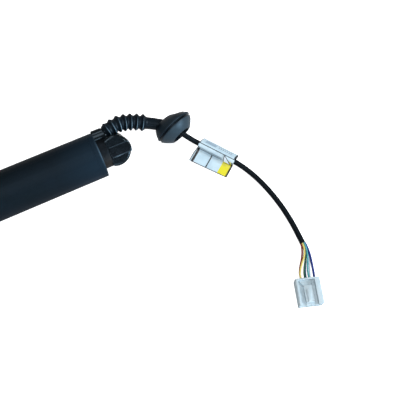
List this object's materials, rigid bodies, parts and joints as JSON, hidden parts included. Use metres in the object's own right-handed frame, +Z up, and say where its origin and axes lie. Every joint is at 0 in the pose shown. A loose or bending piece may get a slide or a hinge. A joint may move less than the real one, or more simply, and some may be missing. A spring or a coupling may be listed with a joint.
{
  "type": "electric tailgate strut",
  "caption": "Long black electric strut that lifts a car's tailgate: geared motor, spindle and spring in a tube, ball sockets at both ends, cable with bellows grommet and white connector.",
  "frame": {"origin": "centre of the ball in the socket at the cable end, where the strut hangs on the car's body", "axes": "+X along the strut towards the gate end, +Z up from the ground it lies on, +Y to the side that the cable lies on"},
  "size_m": [0.6217, 0.209, 0.038],
  "materials": {
    "satin_black_paint": "satin powder coat",
    "black_moulding": "fine moulded, glass-filled nylon",
    "spring_steel": "blackened spring steel, slight sheen",
    "rubber_black": "moulded rubber with a soft sheen",
    "cable_jacket": "extruded jacket, satin",
    "label_sheet": "plain pale film",
    "white_moulding": "smooth moulded",
    "wire_skin": "coloured insulation, one colour to each wire",
    "tinned_contact": "tinned",
    "zinc_steel": "zinc plated",
    "ground_steel": "ground",
    "magnet_ferrite": "dark ferrite",
    "copper_winding": "enamelled copper and laminations",
    "natural_plastic": "natural acetal",
    "board_green": "solder mask"
  },
  "bodies": {
    "strut_body": {"barrel": "satin_black_paint", "end_cap": "black_moulding", "body_ball_socket": "black_moulding", "sensor_board": "board_green", "brush_plate": "black_moulding", "motor_can": "zinc_steel", "field_magnets": "magnet_ferrite", "motor_damper": "rubber_black", "ring_gear": "natural_plastic", "bearing_housing": "zinc_steel", "bearing_outer": "ground_steel", "guide_tube": "zinc_steel", "mouth_bush": "natural_plastic", "wiper_seal": "rubber_black", "bellows_boot": "rubber_black", "motor_lead": "cable_jacket", "cable": "cable_jacket", "cable_label": "label_sheet", "connector_tails": "wire_skin", "connector_housing": "white_moulding", "connector_terminals": "tinned_contact"},
    "rod": {"spindle_nut": "natural_plastic", "push_tube": "zinc_steel", "cover_tube": "satin_black_paint", "cover_guide_ring": "natural_plastic", "gate_cap": "black_moulding", "gate_ball_socket": "black_moulding", "drive_spring": "spring_steel"},
    "motor_armature": {"armature": "copper_winding", "sun_gear": "ground_steel", "sensor_magnet": "magnet_ferrite"},
    "first_stage": {"first_carrier": "ground_steel"},
    "spindle_shaft": {"second_carrier": "ground_steel", "spindle": "ground_steel", "bearing_inner": "ground_steel", "spindle_end_guide": "natural_plastic"},
    "body_clip": {"body_socket_clip": "spring_steel"},
    "gate_clip": {"gate_socket_clip": "spring_steel"},
    "latch_arm": {"connector_latch": "white_moulding"},
    "first_planet_1": {"first_planet_1": "natural_plastic"},
    "first_planet_2": {"first_planet_2": "natural_plastic"},
    "first_planet_3": {"first_planet_3": "natural_plastic"},
    "second_planet_1": {"second_planet_1": "natural_plastic"},
    "second_planet_2": {"second_planet_2": "natural_plastic"},
    "second_planet_3": {"second_planet_3": "natural_plastic"}
  },
  "joints": [
    {"name": "motor_spin", "type": "hinge", "parent": "strut_body", "child": "motor_armature", "pos_m": [0.06, 0, 0], "axis": [-1, 0, 0], "range_deg": [0, 139725.5]},
    {"name": "first_carrier_spin", "type": "hinge", "parent": "strut_body", "child": "first_stage", "pos_m": [0.105, 0, 0], "axis": [-1, 0, 0], "range_deg": [0, 31050.5]},
    {"name": "spindle_spin", "type": "hinge", "parent": "strut_body", "child": "spindle_shaft", "pos_m": [0.12, 0, 0], "axis": [-1, 0, 0], "range_deg": [0, 6900.5]},
    {"name": "rod_slide", "type": "slide", "parent": "strut_body", "child": "rod", "axis": [1, 0, 0], "range_m": [0, 0.23], "deforming": ["drive_spring"]},
    {"name": "body_clip_slide", "type": "slide", "parent": "strut_body", "child": "body_clip", "axis": [-1, 0, 0], "range_m": [0, 0.003], "stiffness_N_per_m": 1500},
    {"name": "gate_clip_slide", "type": "slide", "parent": "rod", "child": "gate_clip", "axis": [1, 0, 0], "range_m": [0, 0.003], "stiffness_N_per_m": 1500},
    {"name": "latch_press", "type": "hinge", "parent": "strut_body", "child": "latch_arm", "pos_m": [-0.0847, 0.18149, -0.0114], "axis": [0.9421, -0.3355, 0], "range_deg": [0, 3], "stiffness_Nm_per_rad": 1},
    {"name": "first_planet_1_spin", "type": "hinge", "parent": "first_stage", "child": "first_planet_1", "pos_m": [0.1, 0.0081, 0], "axis": [-1, 0, 0], "range_deg": [-86940.5, 0]},
    {"name": "first_planet_2_spin", "type": "hinge", "parent": "first_stage", "child": "first_planet_2", "pos_m": [0.1, -0.00405, 0.00701], "axis": [-1, 0, 0], "range_deg": [-86940.5, 0]},
    {"name": "first_planet_3_spin", "type": "hinge", "parent": "first_stage", "child": "first_planet_3", "pos_m": [0.1, -0.00405, -0.00701], "axis": [-1, 0, 0], "range_deg": [-86940.5, 0]},
    {"name": "second_planet_1_spin", "type": "hinge", "parent": "spindle_shaft", "child": "second_planet_1", "pos_m": [0.112, 0.0081, 0], "axis": [-1, 0, 0], "range_deg": [-19320.5, 0]},
    {"name": "second_planet_2_spin", "type": "hinge", "parent": "spindle_shaft", "child": "second_planet_2", "pos_m": [0.112, -0.00405, 0.00701], "axis": [-1, 0, 0], "range_deg": [-19320.5, 0]},
    {"name": "second_planet_3_spin", "type": "hinge", "parent": "spindle_shaft", "child": "second_planet_3", "pos_m": [0.112, -0.00405, -0.00701], "axis": [-1, 0, 0], "range_deg": [-19320.5, 0]}
  ],
  "couplings": [
    {"joint": "motor_spin", "follows": "rod_slide", "rad_per_m": 10603},
    {"joint": "first_carrier_spin", "follows": "rod_slide", "rad_per_m": 2356.2},
    {"joint": "spindle_spin", "follows": "rod_slide", "rad_per_m": 523.6},
    {"joint": "first_planet_1_spin", "follows": "rod_slide", "rad_per_m": -6597.3},
    {"joint": "first_planet_2_spin", "follows": "rod_slide", "rad_per_m": -6597.3},
    {"joint": "first_planet_3_spin", "follows": "rod_slide", "rad_per_m": -6597.3},
    {"joint": "second_planet_1_spin", "follows": "rod_slide", "rad_per_m": -1466.1},
    {"joint": "second_planet_2_spin", "follows": "rod_slide", "rad_per_m": -1466.1},
    {"joint": "second_planet_3_spin", "follows": "rod_slide", "rad_per_m": -1466.1}
  ]
}
